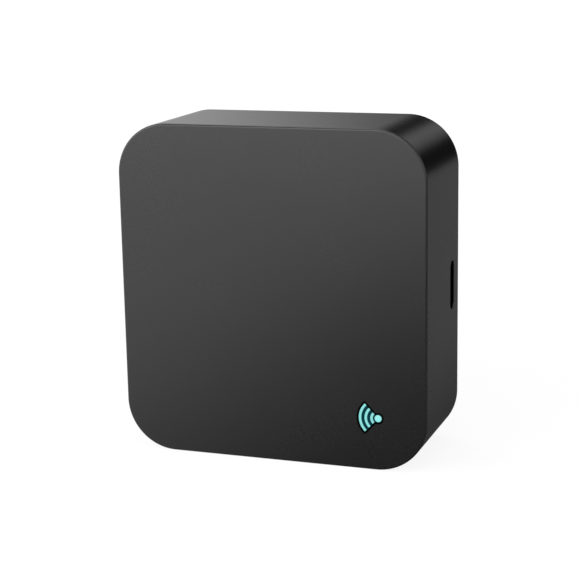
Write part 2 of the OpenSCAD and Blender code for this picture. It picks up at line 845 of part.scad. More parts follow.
// Metal ends of the chip resistors
module resistor_ends() {
    chip_ends(resistor_places, 0.45);
}

// Bodies of the ceramic capacitors
module ceramic_capacitors() {
    color([0.66, 0.5, 0.33]) for (place = ceramic_places)
        translate([place[0] - 0.5, place[1] - 0.4, board_low - 0.8]) cube([1, 0.8, 0.8]);
}

// Metal ends of the ceramic capacitors
module ceramic_ends() {
    chip_ends(ceramic_places, 0.8);
}

// A metal end on both sides of each chip in a list of places
module chip_ends(places, height) {
    color("silver") for (place = places, side = [-1, 1])
        translate([place[0] + side * 0.65 - 0.15, place[1] - 0.4, board_low - height]) cube([0.3, 0.8, height]);
}

// Cones of solder round the leads that come through the board
module solder_joints() {
    color([0.8, 0.8, 0.82]) at_lead_holes() difference() {
        translate([0, 0, board_low - 0.7]) cylinder(r1 = 0.45, r2 = 0.95, h = 0.7, $fn = 24);
        translate([-lead_t / 2, -lead_t / 2, board_low - 1]) cube([lead_t, lead_t, 2]);
    }
}

standing() cover_shell();
standing() base_plate();
standing() foot_pad(1);  // foot_pad_1
standing() foot_pad(2);  // foot_pad_2
standing() foot_pad(3);  // foot_pad_3
standing() foot_pad(4);  // foot_pad_4
standing() signal_light_guide();
standing() main_board();
standing() board_screws();
standing() usb_shell();
standing() usb_tongue();
standing() usb_contacts();
standing() radio_board();
standing() radio_shield();
standing() radio_antenna();
standing() radio_solder();
standing() ir_lamp(1);  // ir_lamp_1
standing() ir_lamp(2);  // ir_lamp_2
standing() ir_lamp(3);  // ir_lamp_3
standing() ir_lamp(4);  // ir_lamp_4
standing() ir_lamp(5);  // ir_lamp_5
standing() ir_lamp(6);  // ir_lamp_6
standing() ir_lamp(7);  // ir_lamp_7
standing() ir_lamp_leads();
standing() ir_receiver();
standing() ir_receiver_leads();
standing() switch_base();
standing() switch_frame();
standing() switch_dome();
standing() switch_terminals();
standing() switch_plunger();
standing() reset_button();
standing() status_lamp();
standing() status_lamp_ends();
standing() bulk_capacitor(1);  // bulk_capacitor_1
standing() bulk_capacitor(2);  // bulk_capacitor_2
standing() capacitor_seats();
standing() voltage_regulator();
standing() regulator_leads();
standing() lamp_transistors();
standing() transistor_leads();
standing() code_chip();
standing() code_chip_leads();
standing() clock_crystal();
standing() chip_resistors();
standing() resistor_ends();
standing() ceramic_capacitors();
standing() ceramic_ends();
standing() solder_joints();
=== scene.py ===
"""Looks of a small smart infrared blaster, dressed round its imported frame.

The box stands upright with its face towards -Y, its charging port towards +X and its back, with the
pads and the reset button, towards +Y. Every length is in metres.
"""

import json
import logging
import math
from collections.abc import Callable, Iterator, Sequence
from contextlib import contextmanager
from dataclasses import dataclass, field
from enum import Enum
from typing import NamedTuple

import bmesh
import bpy
from mathutils import Matrix, Vector


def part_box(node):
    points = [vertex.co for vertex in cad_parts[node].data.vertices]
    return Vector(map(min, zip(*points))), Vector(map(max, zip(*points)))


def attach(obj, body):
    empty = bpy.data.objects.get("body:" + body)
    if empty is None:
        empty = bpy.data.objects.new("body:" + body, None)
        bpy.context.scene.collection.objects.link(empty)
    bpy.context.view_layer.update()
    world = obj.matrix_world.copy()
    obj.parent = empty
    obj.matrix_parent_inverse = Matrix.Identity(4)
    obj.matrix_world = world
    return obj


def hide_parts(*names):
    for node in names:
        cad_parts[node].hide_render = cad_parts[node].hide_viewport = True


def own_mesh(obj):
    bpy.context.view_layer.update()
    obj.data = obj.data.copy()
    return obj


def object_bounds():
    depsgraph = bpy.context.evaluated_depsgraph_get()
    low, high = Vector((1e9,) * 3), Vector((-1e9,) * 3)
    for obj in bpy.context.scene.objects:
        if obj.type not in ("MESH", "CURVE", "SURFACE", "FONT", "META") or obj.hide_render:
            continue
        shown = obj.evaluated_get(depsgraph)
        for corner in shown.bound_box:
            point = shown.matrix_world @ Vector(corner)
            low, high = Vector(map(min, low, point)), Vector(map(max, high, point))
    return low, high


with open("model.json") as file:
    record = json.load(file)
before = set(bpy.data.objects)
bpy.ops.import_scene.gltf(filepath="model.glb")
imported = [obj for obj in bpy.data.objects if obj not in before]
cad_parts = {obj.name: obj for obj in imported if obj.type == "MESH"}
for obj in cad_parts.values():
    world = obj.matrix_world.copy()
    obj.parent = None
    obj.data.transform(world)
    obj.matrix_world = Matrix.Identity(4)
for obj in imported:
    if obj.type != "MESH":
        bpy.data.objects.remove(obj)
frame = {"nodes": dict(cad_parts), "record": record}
cad_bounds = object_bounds()

LOG = logging.getLogger("infrared_blaster")
HOUSING = "housing"
MM = 0.001
# Coordinates closer than this are taken as the same
TOUCH = 0.01 * MM
# How far shapes reach into each other where they are welded
OVERLAP = 0.1 * MM
# A normal with more than this along an axis points straight along it
STRAIGHT = 0.9999
# Thickness of the cover's face, which the strokes of the light guide fill
FACE_WALL = 1.6 * MM
# Turn, in radians, that lays a cylinder or a cone along Y
LYING = (math.radians(90), 0, 0)
BLACK = (0.0, 0.0, 0.0)
# Noise is about this on average
EVEN = 0.5

Colour = tuple[float, float, float]
Place = tuple[float, float, float]
Span = tuple[float, float]
Piece = bpy.types.Object
Test = Callable[[Vector, Vector], bool]


class Metal(Enum):
    """Base colours of the bare metals."""

    NICKEL = (0.56, 0.54, 0.50)
    TIN = (0.66, 0.66, 0.66)
    STEEL = (0.50, 0.50, 0.51)
    GOLD = (0.86, 0.60, 0.22)
    ALUMINIUM = (0.72, 0.73, 0.75)


class Extent(NamedTuple):
    """The box round a node of the frame."""

    low: Vector
    high: Vector

    @classmethod
    def of(cls, node: str) -> "Extent":
        """The box of one CAD node."""
        return cls(*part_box(node))

    @property
    def centre(self) -> Vector:
        """The middle of the box."""
        return (self.low + self.high) / 2


def scaled(colour: Colour, factor: float, lift: float = 0.0) -> Colour:
    """A lighter or darker colour, at most white: the factor comes first and the lift is added."""
    return tuple(min(1.0, value * factor + lift) for value in colour)


def squares(*lengths: float) -> list[float]:
    """The squares of some lengths, which a squared distance is compared with."""
    return [length ** 2 for length in lengths]


class Wire:
    """One output of a shader graph. Python's operators on it add Math nodes."""

    def __init__(self, graph: "Graph", socket: bpy.types.NodeSocket) -> None:
        """Holds the graph and the output."""
        self.graph = graph
        self.socket = socket

    def _maths(self, operation: str, *values: "Wire | float") -> "Wire":
        """Adds a Math node with its operation and its inputs in order."""
        return self.graph.add("ShaderNodeMath", {"operation": operation}, dict(enumerate(values)))

    def __add__(self, other: "Wire | float") -> "Wire":
        """Sum."""
        return self._maths("ADD", self, other)

    def __radd__(self, other: float) -> "Wire":
        """Sum with a number on the left."""
        return self._maths("ADD", other, self)

    def __sub__(self, other: "Wire | float") -> "Wire":
        """Difference."""
        return self._maths("SUBTRACT", self, other)

    def __rsub__(self, other: float) -> "Wire":
        """Difference from a number on the left."""
        return self._maths("SUBTRACT", other, self)

    def __mul__(self, other: "Wire | float") -> "Wire":
        """Product."""
        return self._maths("MULTIPLY", self, other)

    def __rmul__(self, other: float) -> "Wire":
        """Product with a number on the left."""
        return self._maths("MULTIPLY", other, self)

    def __abs__(self) -> "Wire":
        """Absolute value."""
        return self._maths("ABSOLUTE", self)

    def most(self, other: "Wire | float") -> "Wire":
        """The larger of two values."""
        return self._maths("MAXIMUM", self, other)

    def over(self, limit: float) -> "Wire":
        """1 where the value is over a limit, and 0 elsewhere."""
        return self._maths("GREATER_THAN", self, limit)

    def step(self, start: float, end: float) -> "Wire":
        """A smooth step, from 0 where the value is at the start to 1 where it is at the end."""
        sockets = {"Value": self, "From Min": start, "From Max": end}
        return self.graph.add("ShaderNodeMapRange", {"interpolation_type": "SMOOTHSTEP"}, sockets)

    def angle_from(self, other: "Wire") -> "Wire":
        """The angle, in degrees, whose tangent is this value over another."""
        return self._maths("DEGREES", self._maths("ARCTAN2", self, other))


class Graph:
    """A node graph, of a material or of the world."""

    def __init__(self, tree: bpy.types.NodeTree) -> None:
        """Holds the graph's tree."""
        self.tree = tree

    def add(self, kind: str, settings: dict[str, object] | None = None,
            sockets: dict[str | int, object] | None = None, output: str | int = 0) -> Wire:
        """Adds any node.

        Args:
            kind: The node's type.
            settings: Its properties, which are set first.
            sockets: Values or wires for its inputs, by name or place.
            output: Which output is wanted.

        Returns:
            The wanted output.
        """
        node = self.tree.nodes.new(kind)
        for key, value in (settings or {}).items():
            setattr(node, key, value)
        for key, value in (sockets or {}).items():
            self.join(value, node.inputs[key])
        return Wire(self, node.outputs[output])

    def join(self, value: object, socket: bpy.types.NodeSocket) -> None:
        """Links a wire to an input, or sets the input's own value.

        Args:
            value: A wire, a number or a colour.
            socket: The input.
        """
        if isinstance(value, Wire):
            self.tree.links.new(value.socket, socket)
        elif socket.type == "RGBA":
            socket.default_value = (*value, 1.0)
        else:
            socket.default_value = value

    def place(self) -> Wire:
        """Object coordinates, which are the frame's own."""
        return self.add("ShaderNodeTexCoord", output="Object")

    def parts(self, vector: Wire) -> tuple[Wire, Wire, Wire]:
        """The X, Y and Z of a vector."""
        return tuple(self.add("ShaderNodeSeparateXYZ", sockets={0: vector}, output=i) for i in range(3))

    def noise(self, size: float, detail: float = 2.0, roughness: float = 0.5,
              stretch: Place = (1.0, 1.0, 1.0)) -> Wire:
        """Fractal noise.

        Args:
            size: Width of its largest features in metres.
            detail: How many finer layers it has.
            roughness: How strong the finer layers are.
            stretch: Factors on the three coordinates.

        Returns:
            The noise, about 0 to 1.
        """
        vector = self.add("ShaderNodeMapping", sockets={"Vector": self.place(), "Scale": stretch})
        sockets = {"Vector": vector, "Scale": 1.0 / size, "Detail": detail, "Roughness": roughness}
        return self.add("ShaderNodeTexNoise", {"noise_dimensions": "3D"}, sockets)

    def cells(self, size: float, feature: str = "SMOOTH_F1") -> Wire:
        """The distance field of scattered cells of a size, or another feature of them."""
        sockets = {"Vector": self.place(), "Scale": 1.0 / size}
        return self.add("ShaderNodeTexVoronoi", {"feature": feature}, sockets, "Distance")

    def blend(self, share: Wire, first: Wire | Colour, second: Wire | Colour) -> Wire:
        """Two colours mixed, with a share of the second."""
        return self.add("ShaderNodeMix", {"data_type": "RGBA"}, {0: share, 6: first, 7: second}, output=2)

    def bump(self, height: Wire, distance: float) -> Wire:
        """The normal of a relief whose height of 1 stands for a distance in metres."""
        return self.add("ShaderNodeBump", sockets={"Height": height, "Distance": distance})

    def mix(self, share: Wire, first: Wire, second: Wire) -> Wire:
        """Two surfaces mixed, with a share of the second."""
        return self.add("ShaderNodeMixShader", sockets={0: share, 1: first, 2: second})

    def ray(self, kind: str) -> Wire:
        """1 on the rays of one kind, which is an output of Light Path, and 0 on others."""
        return self.add("ShaderNodeLightPath", output=kind)


class Shader(Graph):
    """The node graph of one material, around a Principled BSDF."""

    def __init__(self, name: str) -> None:
        """Makes a material and takes its graph.

        Args:
            name: The material's name.
        """
        self.material = bpy.data.materials.new(name)
        self.material.use_nodes = True
        super().__init__(self.material.node_tree)
        self.surface = self.tree.nodes["Principled BSDF"]

    def put(self, **values: object) -> None:
        """Sets inputs of the Principled BSDF, by name with underscores for spaces."""
        for key, value in values.items():
            self.join(value, self.surface.inputs[key.replace("_", " ")])

    def own(self) -> Wire:
        """The surface that the Principled BSDF makes."""
        return Wire(self, self.surface.outputs["BSDF"])

    def finish_with(self, surface: Wire) -> None:
        """Sends another surface to the material's output."""
        self.join(surface, self.tree.nodes["Material Output"].inputs["Surface"])


@dataclass(frozen=True)
class Finish:
    """A finish that can be laid on any piece."""

    name: str
    colour: Colour

    def lay(self, shader: Shader) -> None:
        """Builds the finish's nodes in an empty graph."""
        raise NotImplementedError

    def material(self) -> bpy.types.Material:
        """Makes the finish's material, or finds it if it is made.

        Returns:
            The material.
        """
        name = f"{self.name}_surface"
        found = bpy.data.materials.get(name)
        if found is None:
            shader = Shader(name)
            self.lay(shader)
            found = shader.material
        return found


@dataclass(frozen=True)
class MouldedPlastic(Finish):
    """Plastic that keeps the spark-eroded grain of its mould, with broad faint clouds in its colour."""

    roughness: float = 0.36
    specular: float = 0.5
    mottle: float = 0.12
    cloud: float = 9 * MM
    cloud_detail: float = 3.0
    cloud_share: float = 0.65
    cloud_gloss: float = 0.06
    grain: float = 0.16 * MM
    grain_depth: float = 0.0012 * MM
    grain_gloss: float = 0.05
    pit_share: float = 0.4
    pit_grains: float = 1.7

    def lay(self, shader: Shader) -> None:
        """Lays grain, faint mottling and a slightly uneven gloss.

        Args:
            shader: The empty graph to fill.
        """
        cloud = shader.noise(self.cloud, detail=self.cloud_detail)
        fine = shader.noise(self.grain, detail=3.0, roughness=0.6)
        relief = fine
        if self.pit_share:
            pits = shader.cells(self.grain * self.pit_grains)
            relief = (1 - self.pit_share) * fine + self.pit_share * pits
        patches = self.cloud_share * cloud + (1 - self.cloud_share) * fine
        darker, lighter = (scaled(self.colour, 1 + mottle) for mottle in (-self.mottle, self.mottle))
        gloss = self.roughness + self.cloud_gloss * (cloud - EVEN) + self.grain_gloss * (fine - EVEN)
        shader.put(Base_Color=shader.blend(patches, darker, lighter), Roughness=gloss,
                   Normal=shader.bump(relief, self.grain_depth), Specular_IOR_Level=self.specular)


@dataclass(frozen=True, kw_only=True)
class SatinCover(MouldedPlastic):
    """The cover's fine satin, with painted shade in its slot, where the walls are laid dead black, and a
    black keyline round the signal mark.

    Painted shade also dims the rounded edge along the top of the face, taking out the highlight that the
    lights put there.
    """

    cover: "Cover"
    mark: "SignalMark"
    roughness: float = 0.268
    specular: float = 0.7
    mottle: float = 0.06
    cloud: float = 14 * MM
    cloud_detail: float = 4.0
    cloud_share: float = 0.7
    cloud_gloss: float = 0.04
    grain_depth: float = 0.0006 * MM
    grain_gloss: float = 0.02
    pit_share: float = 0.0
    # Dead black, laid as the keyline round the mark and as painted shade on the slot walls and the top
    # edge
    black: Colour = (0.001, 0.001, 0.001)
    bleed: Colour = (0.0015, 0.042, 0.055)
    # Painted shade on the slot walls: where it starts inside the edge, and its margin round the slot
    slot_inside: Span = (0.02 * MM, 0.12 * MM)
    slot_play: float = 0.05 * MM
    keyline: float = 0.30 * MM
    soft: float = 0.06 * MM
    # Painted shade on the rounded top edge of the face, which dims its highlight: its share, and where it
    # lies
    brow_shade_share: float = 0.28
    brow_height: Span = (-9 * MM, -3 * MM)
    brow_lean: Span = (0.0003, 0.006)
    brow_fade: float = 1.3

    def hollow(self, shader: Shader) -> Wire:
        """Finds the walls of the slot, from just inside its edge, where painted shade lays them dead
        black.

        Args:
            shader: The cover's graph.

        Returns:
            1 on the walls, which take the painted shade, and 0 elsewhere.
        """
        across, depth, height = shader.parts(shader.place())
        port, (_, half_width, half_length) = self.cover.port_centre, self.cover.slot_reach
        inward = (port.x - across).step(*self.slot_inside)
        beside = (half_width + self.slot_play - abs(depth - port.y)).over(0.0)
        along = (half_length + self.slot_play - abs(height - port.z)).over(0.0)
        return inward * beside * along * across.over(0.0)

    def round_mark(self, shader: Shader, margin: float) -> tuple[Wire, Wire]:
        """Finds the ground of the dot and that of the arcs.

        Args:
            shader: The cover's graph.
            margin: How far the two grounds are opened out.

        Returns:
            1 on the ground of the dot, and 1 on the fan that holds the arcs.
        """
        x, _, z = shader.parts(shader.place())
        middle = self.mark.dot_centre
        across, up = middle.x - x, abs(z - middle.z)
        away = across * across + up * up
        disc, sector = (1 - away.step(*squares(reach + margin, reach + margin + self.soft))
                        for reach in (self.mark.dot, self.mark.reach))
        angle = math.radians(self.mark.half_angle)
        inside = math.sin(angle) * across - math.cos(angle) * up
        return disc, sector * inside.step(-margin - self.soft, -margin)

    def painted_brow_shade(self, shader: Shader) -> Wire:
        """Finds the rounded edge along the top of the face, where the surface leans back from it, for the
        painted shade that dims its highlight.

        Args:
            shader: The cover's graph.

        Returns:
            How much painted shade it gets, and 0 elsewhere.
        """
        box, edge = self.cover.extent, self.cover.face_edge
        _, y, z = shader.parts(shader.place())
        _, facing, _ = shader.parts(shader.add("ShaderNodeTexCoord", output="Normal"))
        upper = (z - box.high.z).step(*self.brow_height)
        leaning = (1 + facing).step(*self.brow_lean)
        beyond = (y - box.low.y).step(edge, self.brow_fade * edge)
        return self.brow_shade_share * upper * leaning * (1 - beyond)

    def lay(self, shader: Shader) -> None:
        """Lays the satin, the dead black of the keyline and of the painted shade on the slot walls and the
        top edge, and the light that bleeds between the arcs.

        Args:
            shader: The empty graph to fill.
        """
        super().lay(shader)
        disc, fan = self.round_mark(shader, self.keyline)
        _, web = self.round_mark(shader, 0.0)
        # Dead black: the keyline round the mark, and painted shade on the slot walls and the top edge
        sockets = {"Base Color": self.black, "Roughness": 1.0, "Specular IOR Level": 0.0,
                   "Emission Color": shader.blend(web, BLACK, self.bleed), "Emission Strength": 1.0}
        dead = shader.add("ShaderNodeBsdfPrincipled", sockets=sockets)
        keyline_and_painted_shade = self.hollow(shader).most(disc.most(fan)).most(self.painted_brow_shade(shader))
        shader.finish_with(shader.mix(keyline_and_painted_shade, shader.own(), dead))


@dataclass(frozen=True)
class Rubber(Finish):
    """Matt rubber with dust in its pores."""

    roughness: float = 0.78
    specular: float = 0.35
    pore: float = 0.22 * MM
    pore_depth: float = 0.006 * MM
    bloom: float = 2.4 * MM
    bloom_edge: Span = (0.45, 0.8)
    bloom_gloss: float = 0.1
    dust: float = 0.5
    dust_colour: Span = (1.9, 0.004)

    def lay(self, shader: Shader) -> None:
        """Lays pores and a dusty bloom.

        Args:
            shader: The empty graph to fill.
        """
        pores = shader.cells(self.pore)
        bloom = shader.noise(self.bloom, detail=4.0).step(*self.bloom_edge)
        colour = shader.blend(self.dust * bloom, self.colour, scaled(self.colour, *self.dust_colour))
        shader.put(Base_Color=colour, Roughness=self.roughness + self.bloom_gloss * bloom,
                   Normal=shader.bump(pores, self.pore_depth), Specular_IOR_Level=self.specular)


@dataclass(frozen=True)
class PlatedMetal(Finish):
    """Plated or tinned sheet and wire, faintly brushed and stained."""

    roughness: float = 0.28
    brush: float = 0.5 * MM
    brush_depth: float = 0.002 * MM
    brush_gloss: float = 0.08
    brush_run: Place = (1.0, 1.0, 6.0)
    stain: float = 1.6 * MM
    stain_edge: Span = (0.4, 0.75)
    stain_gloss: float = 0.12
    stain_shade: float = 0.8
    tarnish: float = 0.6

    def lay(self, shader: Shader) -> None:
        """Lays brush marks and a patchy tarnish.

        Args:
            shader: The empty graph to fill.
        """
        marks = shader.noise(self.brush, detail=4.0, roughness=0.65, stretch=self.brush_run)
        stain = shader.noise(self.stain, detail=3.0).step(*self.stain_edge)
        colour = shader.blend(self.tarnish * stain, self.colour, scaled(self.colour, self.stain_shade))
        gloss = self.roughness + self.stain_gloss * stain + self.brush_gloss * (marks - EVEN)
        shader.put(Base_Color=colour, Metallic=1.0, Roughness=gloss,
                   Normal=shader.bump(marks, self.brush_depth))


@dataclass(frozen=True)
class LitPlastic(Finish):
    """Clear tinted plastic that glows from a lamp behind it."""

    glow: Colour = (0.45, 0.9, 0.85)
    strength: float = 0.6
    roughness: float = 0.3
    haze: float = 0.8 * MM
    haze_edge: Span = (0.3, 0.7)
    haze_glow: Span = (0.86, 1.05)
    haze_tint: float = 0.8
    haze_gloss: float = 0.1

    def light(self, shader: Shader, haze: Wire) -> Wire:
        """The glow, which is a little uneven, as through moulded plastic."""
        dim, bright = (scaled(self.glow, factor) for factor in self.haze_glow)
        return shader.blend(haze.step(*self.haze_edge), dim, bright)

    def lay(self, shader: Shader) -> None:
        """Lays a hazy tint and the glow.

        Args:
            shader: The empty graph to fill.
        """
        haze = shader.noise(self.haze, detail=3.0)
        tint = shader.blend(haze, scaled(self.colour, self.haze_tint), self.colour)
        shader.put(Base_Color=tint, Roughness=self.roughness + self.haze_gloss * haze,
                   Emission_Color=self.light(shader, haze), Emission_Strength=self.strength)


@dataclass(frozen=True, kw_only=True)
class SignalLight(LitPlastic):
    """Clear plastic of the light guide, which lets light out only at the face."""

    mark: "SignalMark"
    glow: Colour = (0.25, 0.67, 0.64)
    strength: float = 1.0
    side: float = 0.02
    arcs: float = 0.82
    arcs_share: Span = (0.8, 1.2)
    rim: float = 0.4
    rim_radii: Span = (0.46 * MM, 0.56 * MM)
    arc_radii: Span = (0.70 * MM, 0.80 * MM)
    front_depth: Span = (0.03 * MM, 0.12 * MM)

    def light(self, shader: Shader, haze: Wire) -> Wire:
        """The glow on the front of the strokes, strongest inside the dot's rim, with their sides dark.

        Args:
            shader: The guide's graph.
            haze: Unevenness, about 0 to 1.

        Returns:
            The colour of the light.
        """
        across, depth, height = (a - b for a, b in zip(shader.parts(shader.place()), self.mark.dot_centre))
        away = across * across + height * height
        beyond = away.step(*squares(*self.arc_radii))
        edge = away.step(*squares(*self.rim_radii)) * (1 - beyond)
        front = (1 - depth.step(*self.front_depth)) * (1 - (1 - self.rim) * edge)
        least, most = self.arcs_share
        share = beyond * (least + (most - least) * haze)
        lit = shader.blend(share, self.glow, scaled(self.glow, self.arcs))
        return shader.blend(front, scaled(self.glow, self.side), lit)


@dataclass(frozen=True)
class SolderMask(Finish):
    """Green lacquer over copper tracks on a glass-fibre board."""

    roughness: float = 0.28
    field_width: float = 3.6 * MM
    track_edge: Span = (0.05, 0.07)
    track_height: float = 0.035 * MM
    track_share: float = 0.8
    track_coat: float = 0.35
    weave: float = 0.35 * MM
    weave_share: float = 0.15
    weave_gloss: float = 0.12
    raised_colour: Span = (1.9, 0.01)

    def lay(self, shader: Shader) -> None:
        """Lays tracks as a raised, lighter net under the lacquer, with the weave of the glass below.

        Args:
            shader: The empty graph to fill.
        """
        track = 1 - shader.cells(self.field_width, "DISTANCE_TO_EDGE").step(*self.track_edge)
        weave = shader.noise(self.weave, detail=1.0)
        raised = self.track_share * track + self.weave_share * weave
        colour = shader.blend(raised, self.colour, scaled(self.colour, *self.raised_colour))
        shader.put(Base_Color=colour, Roughness=self.roughness + self.weave_gloss * weave,
                   Coat_Weight=self.track_coat * track, Normal=shader.bump(track, self.track_height))


@dataclass(frozen=True)
class ClearEpoxy(Finish):
    """Tinted cast epoxy of a lamp."""

    roughness: float = 0.06
    clear: float = 0.85
    bending: float = 1.54
    wave: float = 1.5 * MM
    wave_depth: float = 0.01 * MM
    wave_gloss: float = 0.05
    wave_tint: float = 0.85

    def lay(self, shader: Shader) -> None:
        """Lays a clear tinted body whose skin is very slightly wavy.

        Args:
            shader: The empty graph to fill.
        """
        waves = shader.noise(self.wave)
        tint = shader.blend(waves, scaled(self.colour, self.wave_tint), self.colour)
        shader.put(Base_Color=tint, Roughness=self.roughness + self.wave_gloss * waves, IOR=self.bending,
                   Transmission_Weight=self.clear, Normal=shader.bump(waves, self.wave_depth))


@dataclass(frozen=True)
class FiredCeramic(Finish):
    """Fired ceramic of the small chips."""

    roughness: float = 0.42
    speck: float = 0.12 * MM
    speck_edge: Span = (0.4, 0.7)
    speck_depth: float = 0.004 * MM
    speck_gloss: float = 0.2
    speck_colour: Span = (1.35, 0.01)

    def lay(self, shader: Shader) -> None:
        """Lays a speckled, slightly glazed surface.

        Args:
            shader: The empty graph to fill.
        """
        speck = shader.noise(self.speck, detail=4.0, roughness=0.7)
        spots = speck.step(*self.speck_edge)
        colour = shader.blend(spots, self.colour, scaled(self.colour, *self.speck_colour))
        shader.put(Base_Color=colour, Roughness=self.roughness + self.speck_gloss * speck,
                   Normal=shader.bump(speck, self.speck_depth))


def deselect() -> None:
    """Leaves edit mode and clears the selection."""
    if bpy.context.object is not None and bpy.context.object.mode != "OBJECT":
        bpy.ops.object.mode_set(mode="OBJECT")
    bpy.ops.object.select_all(action="DESELECT")


def take(piece: Piece) -> None:
    """Makes a piece the only selected and active object.

    Args:
        piece: The piece.
    """
    deselect()
    piece.select_set(True)
    bpy.context.view_layer.objects.active = piece


def settle(name: str) -> Piece:
    """Names the active object and applies its place, turn and size to its mesh.

    Args:
        name: The new name.

    Returns:
        The object.
    """
    piece = bpy.context.object
    piece.name = piece.data.name = name
    bpy.ops.object.transform_apply(location=True, rotation=True, scale=True)
    return piece


def block(name: str, low: Sequence[float], high: Sequence[float]) -> Piece:
    """Adds a cuboid between two corners.

    Args:
        name: The piece's name.
        low: Its lowest corner.
        high: Its highest corner.

    Returns:
        The cuboid.
    """
    corner, far = Vector(low), Vector(high)
    deselect()
    bpy.ops.mesh.primitive_cube_add(size=1.0, location=(corner + far) / 2, scale=far - corner)
    return settle(name)


def drum(name: str, centre: Sequence[float], radius: float, depth: float, sides: int) -> Piece:
    """Adds a cylinder that lies along Y.

    Args:
        name: The piece's name.
        centre: Its middle.
        radius: Its radius.
        depth: Its length.
        sides: How many sides stand for the circle.

    Returns:
        The cylinder.
    """
    deselect()
    bpy.ops.mesh.primitive_cylinder_add(vertices=sides, radius=radius, depth=depth, location=centre,
                                        rotation=LYING)
    return settle(name)


def near(value: float, target: float) -> bool:
    """Whether two coordinates are the same, but for rounding."""
    return abs(value - target) < TOUCH


def facing_back(plane: float) -> Test:
    """Tests a face's middle and normal: it lies at a depth and looks straight back."""
    return lambda middle, normal: near(middle.y, plane) and normal.y > STRAIGHT


def lying_at(plane: float) -> Test:
    """Tests an edge's two ends: both lie at a depth."""
    return lambda start, end: near(start.y, plane) and near(end.y, plane)


def running_along(axis: int) -> Test:
    """Tests an edge's two ends: they differ along an axis, 0, 1 or 2 for X, Y or Z."""
    return lambda start, end: not near(start[axis], end[axis])


def within(centre: Vector, reach: Place) -> Test:
    """Tests an edge's two ends: both lie within a reach of a centre along each axis."""
    low, high = centre - Vector(reach), centre + Vector(reach)
    return lambda *ends: all(low[i] - TOUCH < end[i] < high[i] + TOUCH for end in ends for i in range(3))


@contextmanager
def editing(piece: Piece, edges: Test | None = None, faces: Test | None = None) -> Iterator[None]:
    """Edit mode on one piece, with some of it selected, or all of it where no test is given.

    Args:
        piece: The piece.
        edges: Tests an edge's two ends, and selects the edges that pass.
        faces: Tests a face's middle and normal, and selects the faces that pass.
    """
    take(piece)
    bpy.ops.object.mode_set(mode="EDIT")
    bpy.ops.mesh.select_mode(type="EDGE" if edges else "FACE")
    bpy.ops.mesh.select_all(action="DESELECT" if edges or faces else "SELECT")
    mesh = bmesh.from_edit_mesh(piece.data)
    chosen = [edge for edge in mesh.edges if edges and edges(*(corner.co for corner in edge.verts))]
    chosen += [face for face in mesh.faces if faces and faces(face.calc_center_median(), face.normal)]
    for element in chosen:
        element.select_set(True)
    bmesh.update_edit_mesh(piece.data)
    yield
    bpy.ops.object.mode_set(mode="OBJECT")


def round_edges(piece: Piece, wanted: Test, radius: float, segments: int) -> None:
    """Rounds the edges of a piece whose two ends pass a test, with so many faces across each rounding."""
    with editing(piece, edges=wanted):
        bpy.ops.mesh.bevel(offset=radius, segments=segments, affect="EDGES", clamp_overlap=False)


def push_face(piece: Piece, wanted: Test, insets: Sequence[float], push: float) -> None:
    """Insets some faces of a piece once or more, and extrudes what is left in the middle.

    Args:
        piece: The piece.
        wanted: Tests a face's middle and normal.
        insets: Widths of the insets, one after the other.
        push: How far the inset faces move back.
    """
    with editing(piece, faces=wanted):
        for inset in insets:
            bpy.ops.mesh.inset(thickness=inset, depth=0.0)
        bpy.ops.mesh.extrude_region_move(TRANSFORM_OT_translate={"value": (0, push, 0)})


def alter(piece: Piece, kind: str, **settings: object) -> None:
    """Adds a modifier to a piece and applies it.

    Args:
        piece: The piece.
        kind: The modifier's type.
        settings: The modifier's properties.
    """
    take(piece)
    modifier = piece.modifiers.new(kind, kind)
    for key, value in settings.items():
        setattr(modifier, key, value)
    bpy.ops.object.modifier_apply(modifier=modifier.name)


class Join(Enum):
    """What a helper does to the piece that it meets."""

    CUT = "DIFFERENCE"
    WELD = "UNION"


def combine(piece: Piece, helpers: Sequence[Piece], how: Join) -> None:
    """Cuts helpers out of a piece or welds them to it, and removes them.

    Args:
        piece: The piece.
        helpers: Closed shapes.
        how: Cut or weld.
    """
    for helper in helpers:
        alter(piece, "BOOLEAN", operation=how.value, solver="EXACT", object=helper)
        bpy.data.objects.remove(helper)


def soften(piece: Piece, angle: float) -> None:
    """Shades a piece smooth, but keeps its flat faces flat.

    Args:
        piece: The piece.
        angle: Edges sharper than this many degrees stay sharp.
    """
    take(piece)
    bpy.ops.object.shade_smooth_by_angle(angle=math.radians(angle))
    alter(piece, "WEIGHTED_NORMAL", keep_sharp=True)


def copy_to(piece: Piece, name: str, step: Vector) -> Piece:
    """Copies a finished piece with a mesh of its own.

    Args:
        piece: The piece.
        name: The copy's name.
        step: How far the copy's mesh is moved.

    Returns:
        The copy.
    """
    copy = piece.copy()
    copy.data = piece.data.copy()
    copy.name = copy.data.name = name
    copy.data.transform(Matrix.Translation(step))
    bpy.context.scene.collection.objects.link(copy)
    return copy


def dress(piece: Piece, finish: Finish) -> None:
    """Gives a piece one finish all over."""
    piece.data.materials.clear()
    piece.data.materials.append(finish.material())


def hand_over(piece: Piece, finish: Finish, node: str) -> None:
    """Dresses a finished piece and puts it in the frame in place of its CAD node.

    Args:
        piece: The piece.
        finish: Its finish.
        node: The CAD node that it stands for.
    """
    dress(piece, finish)
    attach(piece, HOUSING)
    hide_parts(node)
    LOG.info("%s: %d faces, stands for %s", piece.name, len(piece.data.polygons), node)


